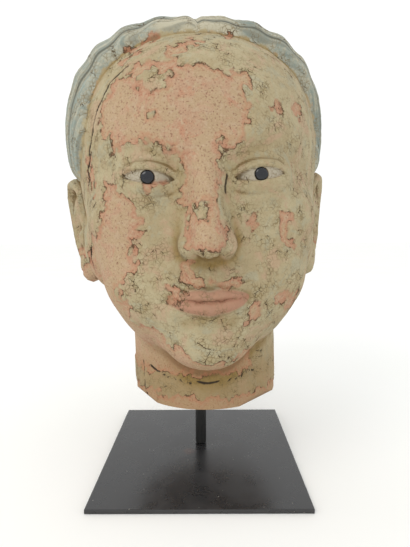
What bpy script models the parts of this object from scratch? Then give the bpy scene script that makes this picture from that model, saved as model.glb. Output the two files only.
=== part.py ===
"""A painted earthenware head held up by a steel rod on a square steel plate.

Row frame: metres, +Z up, the face looks along -Y, and the origin is the centre of the plate's underside.
The head's forms are shares of its own height, chin to crown. In the head's own frame the rod's axis is
x = y = 0, the bottom of the chin is z = 0, and the crown is z = 1.
"""

import math

import bmesh
import bpy
import numpy as np
from mathutils import Euler, Matrix, Vector

# Stand
PLATE_SIDE = 0.140
PLATE_THICKNESS = 0.003
PLATE_EDGE_ROUND = 0.0005
ROD_DIAMETER = 0.0085
ROD_SETBACK = 0.010
HEAD_SIDESTEP = 0.003
ROD_TIP_CHAMFER = 0.0008
ROD_SIDES = 32

# Head on its stand
HEAD_HEIGHT = 0.2325
NECK_RADIUS = 0.054
NECK_LENGTH = 0.031
NECK_LIFT = 0.0505
SOCKET_DEPTH = 0.045
# Chips off the neck's lower edge: bearing from the front, slope below level, depth off the corner
NECK_CHIPS = ((-58.0, 38.0, 0.0036), (47.0, 36.0, 0.0030), (152.0, 30.0, 0.0022))
HEAD_TURN = math.radians(3.5)
HEAD_LEAN = math.radians(-1.7)

# Glass pupils
PUPIL_DIAMETER = 0.0075
PUPIL_DEPTH = 0.0030
PUPIL_PROUD = 0.0008

# Gap kept between pieces that touch
TOUCH_GAP = 0.0003

# Surface sampling before the mesh is thinned
FORM_CELLS = 84
FORM_TRIANGLES = 8100
FRONT_PULL = 0.30
MARCH_STEPS = 60
HALVINGS = 7
EVENING_TURNS = 3
# Rays by their grid angle from straight down: where on the axis each starts, and its own angle from down
RAY_STATIONS = (
    (0.0, -0.10, 0.0), (4.0, -0.10, 50.0), (12.0, 0.05, 42.0), (18.0, 0.10, 43.5), (30.0, 0.14, 60.0),
    (45.0, 0.20, 72.0), (62.0, 0.30, 82.0), (90.0, 0.46, 93.0), (120.0, 0.50, 118.0), (180.0, 0.48, 180.0),
)

PLATE_TOP = PLATE_THICKNESS
NECK_CUT = PLATE_TOP + NECK_LIFT
CHIN_LEVEL = NECK_CUT + NECK_LENGTH

# Eye, in shares of the head's height
EYE = np.array([0.137, -0.266, 0.500])
EYE_RADIUS = 0.085
LID_THICKNESS = 0.0075
EYE_HALF_WIDTH = 0.064
EYE_TILT = 0.08
MOUTH_HALF = 0.100


# Distance functions. Each takes points as an (n, 3) array and gives a signed distance, negative inside.


def ellipsoid(points, centre, radii):
    scaled = (points - np.array(centre)) / np.array(radii)
    near = np.linalg.norm(scaled, axis=1)
    steep = np.linalg.norm(scaled / np.array(radii), axis=1)
    return near * (near - 1.0) / np.maximum(steep, 1e-9)


def squarer(points, centre, radii, power):
    """An ellipsoid whose outline from the front is squarer, by a power over 2."""
    scaled = np.abs(points - np.array(centre)) / np.array(radii) + 1e-9
    outline = (scaled[:, 0] ** power + scaled[:, 2] ** power) ** (1.0 / power)
    near = np.hypot(outline, scaled[:, 1])
    rise = (scaled[:, [0, 2]] / outline[:, None]) ** (power - 1.0) * outline[:, None]
    steep = np.linalg.norm(np.column_stack([rise, scaled[:, 1]]) / np.array(radii)[[0, 2, 1]], axis=1)
    return near * (near - 1.0) / np.maximum(steep, 1e-9)


def taper(points, start, end, start_radius, end_radius):
    """A straight limb whose radius runs from one end's to the other's."""
    start, end = np.array(start), np.array(end)
    along = end - start
    share = np.clip((points - start) @ along / (along @ along), 0.0, 1.0)
    axis_distance = np.linalg.norm(points - start - share[:, None] * along, axis=1)
    return axis_distance - (start_radius + share * (end_radius - start_radius))


def limb(points, path, radii):
    """Tapers end to end along a path."""
    joined = taper(points, path[0], path[1], radii[0], radii[1])
    for i in range(1, len(path) - 1):
        joined = np.minimum(joined, taper(points, path[i], path[i + 1], radii[i], radii[i + 1]))
    return joined


def blend(first, second, reach):
    """The union of two forms, with a fillet of about this reach."""
    share = np.clip(0.5 + 0.5 * (second - first) / reach, 0.0, 1.0)
    return second * (1.0 - share) + first * share - reach * share * (1.0 - share)


def carve(body, cutter, reach):
    """The body with the cutter taken out of it, with soft edges."""
    return -blend(-body, cutter, reach)


def ramp(value, low, high):
    share = np.clip((value - low) / (high - low), 0.0, 1.0)
    return share * share * (3.0 - 2.0 * share)


def bump(value, width):
    return np.exp(-((value / width) ** 2))


# The head's forms, in shares of its height. Points come with x mirrored to the positive side.


def skull_and_jaw(p):
    form = squarer(p, (0.0, 0.075, 0.600), (0.385, 0.430, 0.372), 2.4)
    form = blend(form, ellipsoid(p, (0.0, -0.060, 0.640), (0.325, 0.308, 0.280)), 0.05)
    form = blend(form, ellipsoid(p, (0.0, -0.055, 0.385), (0.335, 0.295, 0.350)), 0.06)
    form = blend(form, ellipsoid(p, (0.0, -0.080, 0.175), (0.262, 0.250, 0.182)), 0.06)
    form = blend(form, ellipsoid(p, (0.0, -0.262, 0.070), (0.105, 0.088, 0.074)), 0.07)
    form = blend(form, ellipsoid(p, (0.195, -0.205, 0.400), (0.105, 0.105, 0.080)), 0.07)
    return blend(form, ellipsoid(p, (0.155, -0.210, 0.260), (0.120, 0.115, 0.120)), 0.07)


def neck(p, radius):
    side = np.hypot(p[:, 0], p[:, 1]) - radius
    return np.maximum(side, p[:, 2] - 0.30)


def brow(p):
    path = [(0.036, -0.350, 0.560), (0.125, -0.346, 0.598), (0.235, -0.270, 0.590)]
    return limb(p, path, [0.012, 0.012, 0.008])


def eye_socket(p):
    return ellipsoid(p, (0.138, -0.420, 0.505), (0.090, 0.076, 0.052))


def eye_line(p):
    """How far along the eye a point is, from -1 at the inner corner to 1, and its height above the axis."""
    along = (p[:, 0] - EYE[0]) / EYE_HALF_WIDTH
    return along, p[:, 2] - EYE[2] - EYE_TILT * (p[:, 0] - EYE[0])


def lid_edges(along):
    arch = np.maximum(1.0 - along * along, 0.0)
    return 0.0200 * arch**0.70, -0.0135 * arch**0.90


def eye_opening(p):
    along, height = eye_line(p)
    upper, lower = lid_edges(along)
    past_corner = np.maximum(np.abs(along) - 1.0, 0.0) * EYE_HALF_WIDTH
    gap = np.maximum(height - upper, lower - height) + past_corner
    return np.maximum(gap, p[:, 1] - EYE[1])


def eyes(face, p):
    face = blend(face, ellipsoid(p, EYE, [EYE_RADIUS + LID_THICKNESS] * 3), 0.022)
    along, height = eye_line(p)
    upper, lower = lid_edges(along)
    over_eye = ramp(1.25 - np.abs(along), 0.0, 0.45) * (p[:, 1] < EYE[1])
    crease = bump(height - upper - 0.0200, 0.0050) * 0.0050
    bag = bump(height - lower + 0.0300, 0.0070) * 0.0030
    face = face + (crease + bag) * over_eye
    opened = carve(face, eye_opening(p), 0.008)
    opened = np.minimum(opened, ellipsoid(p, EYE, [EYE_RADIUS] * 3))
    return np.minimum(opened, face + 0.016)


def nose(face, p):
    face = blend(face, taper(p, (0.0, -0.335, 0.500), (0.0, -0.362, 0.370), 0.036, 0.056), 0.040)
    face = blend(face, taper(p, (0.0, -0.346, 0.565), (0.0, -0.420, 0.362), 0.025, 0.031), 0.030)
    face = blend(face, ellipsoid(p, (0.0, -0.424, 0.340), (0.037, 0.034, 0.034)), 0.020)
    face = blend(face, ellipsoid(p, (0.045, -0.374, 0.333), (0.025, 0.034, 0.026)), 0.024)
    return carve(face, ellipsoid(p, (0.026, -0.402, 0.296), (0.012, 0.020, 0.014)), 0.008)


def lip_line(x):
    return 0.2030 + 0.003 * (x / MOUTH_HALF) ** 2 - 0.003 * bump(x, 0.018)


def lip_heights(x):
    """The red of the upper lip above the line between the lips, and of the lower lip below it."""
    reach = np.maximum(1.0 - (x / MOUTH_HALF) ** 2, 0.0)
    bow = 1.0 - 0.16 * bump(x, 0.014)
    return 0.0310 * reach**0.75 * bow + 0.0020, 0.0370 * reach**0.60 + 0.0020


def lip_share(p):
    """How far into a lip a point is: 0 between the lips and 1 at a lip's outer edge, past 1 outside it."""
    upper, lower = lip_heights(p[:, 0])
    rise = p[:, 2] - lip_line(p[:, 0])
    return np.where(rise > 0, rise / upper, -rise / lower)


def mouth(face, p):
    face = blend(face, ellipsoid(p, (0.0, -0.285, 0.205), (0.140, 0.095, 0.105)), 0.06)
    philtrum = taper(p, (0.0, -0.402, 0.290), (0.0, -0.398, 0.243), 0.010, 0.016)
    face = carve(face, philtrum, 0.016)
    chin_fold = taper(p, (0.0, -0.398, 0.130), (0.065, -0.372, 0.136), 0.028, 0.020)
    face = carve(face, chin_fold, 0.034)
    corner = ellipsoid(p, (MOUTH_HALF + 0.002, -0.366, 0.207), (0.014, 0.014, 0.014))
    face = carve(face, corner, 0.030)
    share = np.clip(lip_share(p), 0.0, 1.0)
    rise = np.abs(p[:, 2] - lip_line(p[:, 0]))
    fullness = np.where(p[:, 2] > lip_line(p[:, 0]), 0.0270, 0.0310)
    reach = np.clip(1.0 - (p[:, 0] / MOUTH_HALF) ** 2, 0.0, 1.0)
    swell = fullness * reach * (1.0 - share * share) * (1.0 - np.exp(-rise / 0.0085))
    return face - swell * (p[:, 1] < -0.25)


def ear_frame(p):
    """Points in the ear's own axes: towards the back along the ear, up, and out from the head."""
    flare = math.radians(27.0)
    out = np.array([math.cos(flare), -math.sin(flare), 0.0])
    back = np.array([math.sin(flare), math.cos(flare), 0.0])
    moved = p - np.array([0.400, 0.085, 0.383])
    return np.stack([moved @ back, moved[:, 2], moved @ out], axis=1)


def ear(p):
    """The ear in low relief: a mass in front of it and behind it joins it to the head."""
    e = ear_frame(p)
    body = ellipsoid(e, (0.022, 0.045, -0.012), (0.076, 0.130, 0.026))
    lobe = ellipsoid(e, (0.002, -0.112, -0.018), (0.040, 0.062, 0.030))
    form = blend(body, lobe, 0.034)
    form = blend(form, ellipsoid(e, (0.006, 0.020, -0.085), (0.070, 0.140, 0.085)), 0.030)
    form = blend(form, ellipsoid(p, (0.285, 0.020, 0.340), (0.092, 0.120, 0.150)), 0.050)
    form = carve(form, ellipsoid(e, (0.006, -0.005, 0.030), (0.036, 0.062, 0.036)), 0.012)
    helix_path = [
        (-0.012, 0.030, 0.000), (-0.040, 0.080, 0.006), (-0.034, 0.136, 0.008),
        (0.004, 0.168, 0.014), (0.052, 0.166, 0.015), (0.086, 0.128, 0.011),
        (0.096, 0.065, 0.004), (0.084, -0.010, 0.000), (0.050, -0.080, -0.008),
    ]
    form = blend(form, limb(e, helix_path, [0.008, 0.012, 0.015, 0.017, 0.018, 0.017, 0.015, 0.013, 0.010]), 0.012)
    fold_path = [(0.030, 0.108, 0.004), (0.056, 0.050, 0.006), (0.050, -0.030, 0.006), (0.012, -0.070, 0.006)]
    form = blend(form, limb(e, fold_path, [0.010, 0.013, 0.012, 0.010]), 0.010)
    return blend(form, ellipsoid(e, (-0.034, -0.015, 0.010), (0.015, 0.024, 0.014)), 0.010)


# Hair, combed from a parting at the top of the forehead down both sides and back to the nape

HAIR_CENTRE = np.array([0.0, 0.068, 0.612])
HAIR_RADII = (0.424, 0.462, 0.412)
HAIR_SQUARENESS = 2.6
GATHER = np.array([0.30, -0.10])
LOCK_ANGLE = math.radians(4.4)
LOCK_WAVES = 31.0
SWELL_DEPTH = 0.0034
FORWARD_COMB = math.radians(6.6)
HAIRLINE_SIDE = math.radians(98.0)
HAIRLINE_RIGHT = math.radians(71.0)
HAIRLINE_TOP = math.radians(74.0)


def hair_angles(p, side):
    """Which strand a point is on, as an angle about the gathering line under the nape, and how far
    down from the parting it is, as an angle round the head. On the head's own right the strands follow
    the hairline, which comes further forward there."""
    strand = np.arctan2(p[:, 2] - GATHER[1], GATHER[0] - p[:, 1])
    strand = strand + 1.6 * np.maximum(0.44 - p[:, 0], 0.0) * ramp(p[:, 1], 0.10, 0.50)
    forward = FORWARD_COMB * bump(p[:, 2] - 0.65, 0.19) * ramp(-p[:, 1], -0.25, 0.10)
    down = np.arctan2(p[:, 0], p[:, 2] - 0.50)
    return strand + forward * (side < 0), down


def lock_phase(p, side):
    """Counts the locks back from the hairline. The two sides wave a little differently."""
    strand, down = hair_angles(p, side)
    sway = 0.30 * np.sin(3.1 * down + 0.7 + 0.9 * side) + 0.10 * np.sin(7.3 * down + 9.0 * strand + side)
    return strand / LOCK_ANGLE + sway + 0.20 * side


def lock_swell(p, side):
    """Locks that rise and fall near the parting, so that the hair's upper outline is uneven."""
    strand, down = hair_angles(p, side)
    wave = np.sin(LOCK_WAVES * down + 1.5 * strand / LOCK_ANGLE + 1.4 * (1.0 + side))
    return SWELL_DEPTH * wave * ramp(p[:, 0], 0.0, 0.10) * ramp(p[:, 2], 0.70, 0.92)


def lock_relief(p, side):
    """Rounded locks with sharp valleys between them, and the parting along the top."""
    phase = lock_phase(p, side)
    ridge = np.sqrt(np.abs(np.sin(math.pi * phase)) + 1e-6)
    depth = 0.0105 + 0.0050 * np.cos(math.pi * phase)
    return (1.0 - ridge) * depth * ramp(p[:, 0], 0.0, 0.07) + 0.009 * bump(p[:, 0], 0.014)


def face_window(p, side):
    """Negative where the face shows, in front of the hairline. The edge flares outwards, and on the head's
    own right the hair comes further forward."""
    spoke = p - np.array([0.0, -0.10, 0.50])
    radius = np.hypot(spoke[:, 0], spoke[:, 2]) + 1e-9
    angle = np.arctan2(radius, -spoke[:, 1])
    right_reach = HAIRLINE_RIGHT + (HAIRLINE_SIDE - HAIRLINE_RIGHT) * ramp(-spoke[:, 2], -0.20, 0.05)
    reach = np.where(side < 0, right_reach, HAIRLINE_SIDE)
    across = angle * spoke[:, 0] / radius / reach
    up = angle * np.maximum(spoke[:, 2], 0.0) / radius / HAIRLINE_TOP
    return ((across**2.3 + up**2.3 + 1e-12) ** (1 / 2.3) - 1.0) * 0.50


def below_hair(p):
    """Negative under the hair's lower edge: above the ear in front, and down to the nape behind."""
    edge = 0.545 + 0.40 * (p[:, 0] - 0.38) - 0.475 * ramp(p[:, 1], 0.11, 0.24)
    return (p[:, 2] - edge) * 0.8


def hair(p, side):
    hairline = face_window(p, side)
    hem = below_hair(p)
    front = 0.012 + 0.006 * ramp(p[:, 0], 0.05, 0.20) * (side < 0) + 0.004 * ramp(p[:, 2], 0.70, 0.92)
    thinned = front * np.exp(-np.maximum(hairline, 0.0) / 0.05) + 0.020 * np.exp(-np.maximum(hem, 0.0) / 0.05)
    form = squarer(p, HAIR_CENTRE, HAIR_RADII, HAIR_SQUARENESS) + thinned
    form = form + lock_relief(p, side) + lock_swell(p, side)
    form = carve(form, hairline, 0.012)
    return carve(form, hem, 0.030)


def head_form(points, neck_radius):
    """Signed distance to the head's surface. Points and result are in shares of its height."""
    side = np.sign(points[:, 0])
    p = points.copy()
    p[:, 0] = np.abs(p[:, 0])
    face = skull_and_jaw(p)
    face = blend(face, brow(p), 0.050)
    face = carve(face, eye_socket(p), 0.050)
    face = nose(face, p)
    face = eyes(face, p)
    face = mouth(face, p)
    form = blend(face, ear(p), 0.012)
    form = blend(form, neck(p, neck_radius), 0.020)
    return np.minimum(form, hair(p, side))


# The mesh: a cube's grid, spread over the form by rays that fan out from the head's axis


def rays_from_grid(directions):
    """Each grid direction's ray: where it starts on the axis and where it points."""
    pulled = directions + np.array([0.0, -FRONT_PULL, 0.0]) * ramp(directions[:, 2], -1.0, -0.85)[:, None]
    pulled /= np.linalg.norm(pulled, axis=1)[:, None]
    polar = np.degrees(np.arccos(np.clip(-pulled[:, 2], -1.0, 1.0)))
    stations, heights, slopes = np.array(RAY_STATIONS).T
    start_height = np.interp(polar, stations, heights)
    slope = np.interp(polar, stations, slopes)
    flat = pulled[:, :2] / np.maximum(np.linalg.norm(pulled[:, :2], axis=1), 1e-9)[:, None]
    starts = np.zeros_like(pulled)
    starts[:, 2] = start_height
    starts[:, 1] = 0.03 * ramp(polar, 40.0, 90.0)
    radians = np.radians(slope)
    aims = np.column_stack([flat * np.sin(radians)[:, None], -np.cos(radians)])
    return starts, aims


def surface_points(directions, neck_radius):
    """The outermost crossing of each ray with the form: walked in from outside, then halved down to."""
    starts, aims = rays_from_grid(directions)
    outer = np.full(len(starts), 0.80)
    inner = np.full(len(starts), 0.02)
    walking = np.arange(len(starts))
    for _ in range(MARCH_STEPS):
        here = starts[walking] + aims[walking] * outer[walking, None]
        step = np.clip(head_form(here, neck_radius) * 0.5, 0.0008, 0.20)
        ahead = outer[walking] - step
        outside = head_form(starts[walking] + aims[walking] * ahead[:, None], neck_radius) > 0
        outer[walking[outside]] = ahead[outside]
        inner[walking[~outside]] = ahead[~outside]
        walking = walking[outside]
        if not len(walking):
            break
    for _ in range(HALVINGS):
        middle = (outer + inner) / 2
        outside = head_form(starts + aims * middle[:, None], neck_radius) > 0
        outer = np.where(outside, middle, outer)
        inner = np.where(outside, inner, middle)
    return starts + aims * outer[:, None]


def settle(places, edges, neck_radius):
    """Evens out the spacing of the points over the form, and brings each back onto it."""
    first, second = edges[:, 0], edges[:, 1]
    count = len(places)
    links = np.bincount(first, minlength=count) + np.bincount(second, minlength=count)
    corners = np.array([[1, 1, 1], [1, -1, -1], [-1, 1, -1], [-1, -1, 1]]) * 0.0012
    for turn in range(EVENING_TURNS + 1):
        if turn < EVENING_TURNS:
            total = np.stack([
                np.bincount(first, places[second, i], count) + np.bincount(second, places[first, i], count)
                for i in range(3)
            ], axis=1)
            places = places + 0.4 * (total / links[:, None] - places)
        gaps = [head_form(places + corner, neck_radius) for corner in corners]
        slope = sum(gap[:, None] * corner for gap, corner in zip(gaps, corners))
        slope = slope / (4 * 0.0012**2)
        height = sum(gaps) / 4
        step = height / np.maximum((slope**2).sum(axis=1), 0.05)
        places = places - np.clip(step[:, None] * slope, -0.01, 0.01)
    return places


def cube_grid(cells):
    """A cube with this many cells along each edge, as a bmesh."""
    grid = bmesh.new()
    bmesh.ops.create_cube(grid, size=2.0)
    bmesh.ops.subdivide_edges(grid, edges=grid.edges[:], cuts=cells - 1, use_grid_fill=True)
    return grid


def head_mesh():
    grid = cube_grid(FORM_CELLS)
    corners = np.array([v.co[:] for v in grid.verts])
    directions = np.tan(corners * math.pi / 4)
    directions /= np.linalg.norm(directions, axis=1)[:, None]
    surface = surface_points(directions, NECK_RADIUS / HEAD_HEIGHT)
    edges = np.array([[v.index for v in edge.verts] for edge in grid.edges])
    surface = settle(surface, edges, NECK_RADIUS / HEAD_HEIGHT)
    for vertex, place in zip(grid.verts, surface):
        vertex.co = place
    to_world = head_matrix()
    bmesh.ops.transform(grid, matrix=to_world, verts=grid.verts)
    cut_neck(grid)
    mesh = bpy.data.meshes.new("head")
    grid.to_mesh(mesh)
    grid.free()
    mesh.shade_smooth()
    mesh.set_sharp_from_angle(angle=math.radians(60))
    return mesh


def cut_off(grid, point, normal):
    """Cuts off what lies beyond a plane, and closes the cut."""
    everything = grid.verts[:] + grid.edges[:] + grid.faces[:]
    cut = bmesh.ops.bisect_plane(
        grid, geom=everything, dist=1e-6, plane_co=point, plane_no=normal, clear_outer=True
    )
    rim = [item for item in cut["geom_cut"] if isinstance(item, bmesh.types.BMEdge)]
    bmesh.ops.holes_fill(grid, edges=rim, sides=0)
    bmesh.ops.triangulate(grid, faces=[face for face in grid.faces if len(face.verts) > 4])


def cut_neck(grid):
    """Cuts the neck off flat, and chips its lower edge."""
    cut_off(grid, Vector((0.0, 0.0, NECK_CUT)), Vector((0.0, 0.0, -1.0)))
    for bearing, slope, depth in NECK_CHIPS:
        turn, fall = math.radians(bearing), math.radians(slope)
        outward = Vector((math.sin(turn), -math.cos(turn), 0.0))
        corner = Vector((HEAD_SIDESTEP, ROD_SETBACK, NECK_CUT)) + outward * NECK_RADIUS
        normal = outward * math.cos(fall) - Vector((0.0, 0.0, math.sin(fall)))
        cut_off(grid, corner - normal * depth, normal)
    bmesh.ops.recalc_face_normals(grid, faces=grid.faces)


def head_matrix():
    """From the head's own frame to the row frame."""
    place = Matrix.Translation((HEAD_SIDESTEP, ROD_SETBACK, CHIN_LEVEL))
    turn = Euler((0.0, 0.0, HEAD_TURN)).to_matrix().to_4x4()
    lean = Euler((0.0, HEAD_LEAN, 0.0)).to_matrix().to_4x4()
    return place @ turn @ lean @ Matrix.Scale(HEAD_HEIGHT, 4)


# Pieces


def painted(name, colour, roughness, metallic=0.0):
    material = bpy.data.materials.new(name)
    material.use_nodes = True
    shader = material.node_tree.nodes["Principled BSDF"]
    shader.inputs["Base Color"].default_value = (*colour, 1.0)
    shader.inputs["Roughness"].default_value = roughness
    shader.inputs["Metallic"].default_value = metallic
    return material


def add_object(name, mesh, material, collection):
    piece = bpy.data.objects.new(name, mesh)
    mesh.materials.clear()
    if material:
        mesh.materials.append(material)
    collection.objects.link(piece)
    return piece


def as_cutter(piece):
    piece.hide_render = True
    piece.display_type = "WIRE"
    return piece


def cut_from(piece, cutter, name):
    modifier = piece.modifiers.new(name, "BOOLEAN")
    modifier.operation = "DIFFERENCE"
    modifier.object = cutter


def cylinder_mesh(name, radius, height, sides):
    """A cylinder that stands on z = 0."""
    form = bmesh.new()
    bmesh.ops.create_cone(
        form, cap_ends=True, segments=sides, radius1=radius, radius2=radius, depth=height,
        matrix=Matrix.Translation((0, 0, height / 2)),
    )
    mesh = bpy.data.meshes.new(name)
    form.to_mesh(mesh)
    form.free()
    return mesh


def pupil_mesh(name, radius, half_depth):
    """A lens-shaped bead, round in x and z."""
    form = bmesh.new()
    bmesh.ops.create_uvsphere(form, u_segments=20, v_segments=10, radius=1.0)
    bmesh.ops.transform(
        form, verts=form.verts,
        matrix=Matrix.Diagonal((radius, half_depth, radius, 1.0)) @ Matrix.Rotation(math.pi / 2, 4, "X"),
    )
    mesh = bpy.data.meshes.new(name)
    form.to_mesh(mesh)
    form.free()
    mesh.shade_smooth()
    return mesh


def add_plate(collection):
    form = bmesh.new()
    bmesh.ops.create_cube(form, size=1.0)
    bmesh.ops.transform(
        form, verts=form.verts,
        matrix=Matrix.Translation((0, 0, PLATE_THICKNESS / 2))
        @ Matrix.Diagonal((PLATE_SIDE, PLATE_SIDE, PLATE_THICKNESS, 1.0)),
    )
    mesh = bpy.data.meshes.new("base_plate")
    form.to_mesh(mesh)
    form.free()
    plate = add_object("base_plate", mesh, painted("black_steel_plate", (0.018, 0.018, 0.019), 0.38), collection)
    edge = plate.modifiers.new("edge", "BEVEL")
    edge.width = PLATE_EDGE_ROUND
    edge.segments = 2
    return plate


def add_rod(collection):
    length = NECK_LIFT + SOCKET_DEPTH - 2 * TOUCH_GAP
    mesh = cylinder_mesh("rod", ROD_DIAMETER / 2, length, ROD_SIDES)
    rod = add_object("rod", mesh, painted("black_steel_rod", (0.012, 0.012, 0.012), 0.45), collection)
    rod.location = (0.0, ROD_SETBACK, PLATE_TOP + TOUCH_GAP)
    tip = rod.modifiers.new("tip", "BEVEL")
    tip.width = ROD_TIP_CHAMFER
    tip.limit_method = "ANGLE"
    tip.angle_limit = math.radians(60)
    return rod


def pupil_matrix(side):
    """Where a pupil sits on its eye: just proud of the eyeball, facing straight out of it."""
    glance = Vector((EYE[0] * side, EYE[1] - EYE_RADIUS, EYE[2] + 0.002))
    world = head_matrix()
    inward = world.to_3x3().normalized() @ Vector((0.0, 1.0, 0.0))
    centre = world @ glance + inward * (PUPIL_DEPTH / 2 - PUPIL_PROUD)
    return Matrix.Translation(centre) @ world.to_3x3().normalized().to_4x4()


def add_head(collection, cutters):
    head = add_object("head", head_mesh(), painted("painted_earthenware", (0.42, 0.33, 0.22), 0.85), collection)
    thin = head.modifiers.new("thin", "DECIMATE")
    faces = sum(len(face.vertices) - 2 for face in head.data.polygons)
    thin.ratio = min(1.0, FORM_TRIANGLES / faces)
    socket_mesh = cylinder_mesh("socket", ROD_DIAMETER / 2 + TOUCH_GAP, SOCKET_DEPTH + NECK_LIFT / 2, ROD_SIDES)
    socket = as_cutter(add_object("socket", socket_mesh, None, cutters))
    socket.location = (0.0, ROD_SETBACK, NECK_CUT - NECK_LIFT / 2)
    cut_from(head, socket, "rod_socket")
    for side, name in ((1, "left"), (-1, "right")):
        mesh = pupil_mesh(name + "_pocket", PUPIL_DIAMETER / 2 + TOUCH_GAP, PUPIL_DEPTH / 2 + TOUCH_GAP)
        pocket = as_cutter(add_object(name + "_pocket", mesh, None, cutters))
        pocket.matrix_world = pupil_matrix(side)
        cut_from(head, pocket, name + "_pocket")
    return head


def add_pupils(collection):
    glass = painted("black_glass", (0.010, 0.012, 0.018), 0.12)
    for side, name in ((1, "left"), (-1, "right")):
        mesh = pupil_mesh(name + "_pupil", PUPIL_DIAMETER / 2, PUPIL_DEPTH / 2)
        pupil = add_object(name + "_pupil", mesh, glass, collection)
        pupil.matrix_world = pupil_matrix(side)


def clear_scene():
    for old in list(bpy.data.objects):
        bpy.data.objects.remove(old, do_unlink=True)


def main():
    clear_scene()
    parts = bpy.data.collections.new("earthenware_head")
    cutters = bpy.data.collections.new("cutters")
    for collection in (parts, cutters):
        bpy.context.scene.collection.children.link(collection)
    add_plate(parts)
    add_rod(parts)
    add_head(parts, cutters)
    add_pupils(parts)


main()
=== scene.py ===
"""A painted earthenware head on its rod and plate, finished for a picture.

Metres, +Z up, and the face looks along -Y. The head's forms are shares of its own height, as in its solid:
in its own frame the rod's axis is x = y = 0, the bottom of the chin is z = 0, and the crown is z = 1.
"""

import math

import bmesh
import bpy
import numpy as np
from mathutils import Euler, Matrix, Vector, kdtree, noise


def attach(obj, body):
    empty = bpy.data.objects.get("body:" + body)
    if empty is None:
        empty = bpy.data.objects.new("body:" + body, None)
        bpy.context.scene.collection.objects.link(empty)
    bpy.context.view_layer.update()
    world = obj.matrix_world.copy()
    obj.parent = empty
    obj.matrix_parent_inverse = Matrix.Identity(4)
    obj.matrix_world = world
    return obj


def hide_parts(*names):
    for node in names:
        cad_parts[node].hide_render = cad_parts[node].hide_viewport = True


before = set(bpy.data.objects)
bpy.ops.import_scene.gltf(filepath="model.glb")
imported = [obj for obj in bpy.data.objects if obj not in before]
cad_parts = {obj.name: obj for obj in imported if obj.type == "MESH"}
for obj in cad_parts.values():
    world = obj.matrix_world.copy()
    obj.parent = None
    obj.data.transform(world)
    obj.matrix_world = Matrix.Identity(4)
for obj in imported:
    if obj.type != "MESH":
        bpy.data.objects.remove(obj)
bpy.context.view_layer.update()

# The picture's camera: the lens and the place that the plate's four corners give
LENS = 26.0
SENSOR_HEIGHT = 36.0
CAMERA_PLACE = (0.005, -0.295, 0.1665)
CAMERA_TURN = (84.86, 0.3, 0.17)

# Stand
PLATE_TOP = 0.003
ROD_DIAMETER = 0.0085
ROD_SETBACK = 0.010
HEAD_SIDESTEP = 0.003
ROD_SIDES = 64

# Head on its stand
HEAD_HEIGHT = 0.2325
NECK_RADIUS = 0.054
NECK_LENGTH = 0.031
NECK_LIFT = 0.0505
SOCKET_DEPTH = 0.045
# Chips off the neck's lower edge: bearing from the front, slope below level, depth off the corner
NECK_CHIPS = ((-58.0, 38.0, 0.0036), (47.0, 36.0, 0.0030), (152.0, 30.0, 0.0022))
HEAD_TURN = math.radians(3.5)
HEAD_LEAN = math.radians(-1.7)
NECK_CUT = PLATE_TOP + NECK_LIFT
CHIN_LEVEL = NECK_CUT + NECK_LENGTH

# Glass pupils
PUPIL_DIAMETER = 0.0075
PUPIL_DEPTH = 0.0030
PUPIL_PROUD = 0.0008
TOUCH_GAP = 0.0003
BEAD_ROUNDS = 48
BEAD_RINGS = 24

# Surface sampling: the head comes out just under 200,000 triangles. Lengths are shares of its height.
FORM_CELLS = 127
FRONT_PULL = 0.30
RAY_START = 0.80
RAY_END = 0.02
STEP_SHARE = 0.5
SHORTEST_STEP = 0.0008
LONGEST_STEP = 0.20
MARCH_STEPS = 60
HALVINGS = 7
EVENING_TURNS = 3
EVENING_SHARE = 0.4
PROBE = 0.0012
FLATTEST_SLOPE = 0.05
LONGEST_MOVE = 0.01
SHARP_ANGLE = math.radians(60)
# Rays by their grid angle from straight down: where on the axis each starts, and its own angle from down
RAY_STATIONS = (
    (0.0, -0.10, 0.0), (4.0, -0.10, 50.0), (12.0, 0.05, 42.0), (18.0, 0.10, 43.5), (30.0, 0.14, 60.0),
    (45.0, 0.20, 72.0), (62.0, 0.30, 82.0), (90.0, 0.46, 93.0), (120.0, 0.50, 118.0), (180.0, 0.48, 180.0),
)

# Eye and mouth, in shares of the head's height
EYE = np.array([0.137, -0.266, 0.500])
EYE_RADIUS = 0.085
LID_THICKNESS = 0.0075
EYE_HALF_WIDTH = 0.064
EYE_TILT = 0.08
MOUTH_HALF = 0.100
# The face lies in front of this
FACE_BACK = -0.25

# Hair
HAIR_CENTRE = np.array([0.0, 0.068, 0.612])
HAIR_RADII = (0.424, 0.462, 0.412)
HAIR_SQUARENESS = 2.6
GATHER = np.array([0.30, -0.10])
LOCK_ANGLE = math.radians(4.4)
LOCK_WAVES = 31.0
SWELL_DEPTH = 0.0034
FORWARD_COMB = math.radians(6.6)
HAIRLINE_SIDE = math.radians(98.0)
HAIRLINE_RIGHT = math.radians(71.0)
HAIRLINE_TOP = math.radians(74.0)
STRANDS_PER_LOCK = 4
STRAND_DEPTH = 0.0022

# Wear, in millimetres
SEED = 11
FLAKE_SPACING = 3.8
FLAKE_RAGGED = 1.9
GROUND_THICKNESS = 0.75
RIM_HEIGHT = 8.0
CRACK_REACH = 7.0
CRACK_WANDER = 1.6
CRACK_DEPTH = 0.9
FLAKE_TILT = 0.10
PIT_IN_PAINT = 0.10
PIT_IN_CLAY = 0.35
# Stands for "nowhere near", in the distances to losses and cracks
FAR = 30.0
# The losses drawn below stop this far behind the head's axis, and noise sets those behind the second line
DRAWN_LOSSES_END = 22.0
BACK_LOSSES_START = 30.0
# Turns of smoothing that bring out the creases and the broad hollows
CREASE_TURNS = 4
HOLLOW_TURNS = 60
SMOOTHING_SHARE = 0.6
# How far the hair's and the eyes' masks reach to either side of their edges
HAIR_MASK_REACH = 4.0
EYE_MASK_REACH = 3.0
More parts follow.
